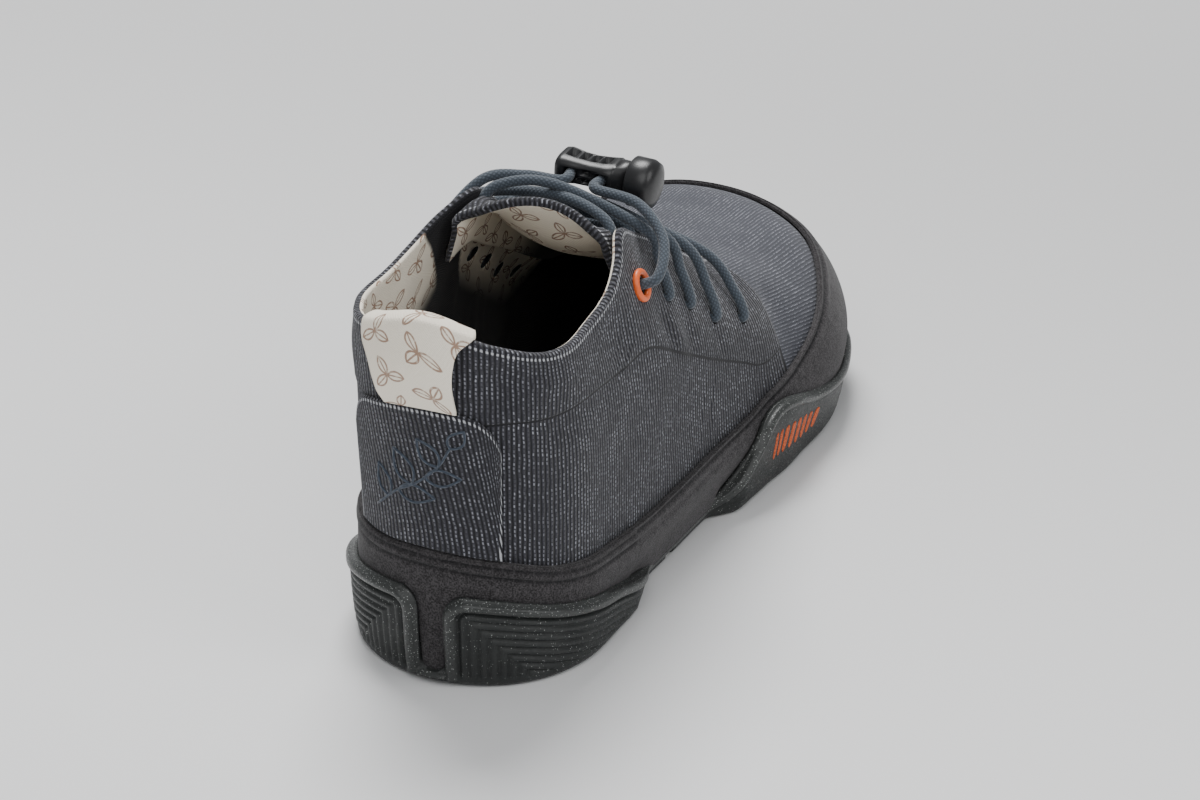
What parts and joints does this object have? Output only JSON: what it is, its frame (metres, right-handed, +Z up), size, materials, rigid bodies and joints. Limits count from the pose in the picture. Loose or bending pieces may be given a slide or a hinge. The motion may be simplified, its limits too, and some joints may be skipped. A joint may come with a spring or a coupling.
{
  "type": "barefoot shoe",
  "caption": "Low woven-cloth barefoot shoe with a wide toe box, thin cupped rubber sole, elastic laces with a cord lock, and a heel pull loop.",
  "frame": {"origin": "middle of the shoe's footprint box, on the floor that the sole rests on", "axes": "+Y from heel to toe, +X to the outer side of this right shoe, +Z up"},
  "size_m": [0.0824, 0.1921, 0.0895],
  "materials": {
    "woven_fabric": "dark slate cloth with columns of pale woven dashes",
    "microfibre": "matt napped microfibre",
    "sole_rubber": "matt with fine pale specks",
    "insole_cloth": "matt cloth",
    "cotton_tape": "plain cotton",
    "lace_cord": "braided elastic cord",
    "lock_plastic": "satin",
    "eyelet_enamel": "satin enamel"
  },
  "bodies": {
    "shoe": {"outsole": "sole_rubber", "insole": "insole_cloth", "upper": "woven_fabric", "rand": "microfibre", "heel_patch": "woven_fabric", "tongue": "woven_fabric", "pull_loop": "cotton_tape", "eyelet_lateral": "eyelet_enamel", "eyelet_medial": "eyelet_enamel", "lace_cross_2": "lace_cord", "lace_cross_3": "lace_cord", "lace_cross_4": "lace_cord", "lace_cross_5": "lace_cord", "lace_end_lateral": "lace_cord", "lace_end_medial": "lace_cord", "toggle_body": "lock_plastic"},
    "plunger": {"toggle_plunger": "lock_plastic"}
  },
  "joints": [
    {"name": "plunger_press", "type": "slide", "parent": "shoe", "child": "plunger", "axis": [-0.998, 0.0349, 0.0523], "range_m": [0, 0.0028], "stiffness_N_per_m": 600, "springref_m": -0.004}
  ]
}
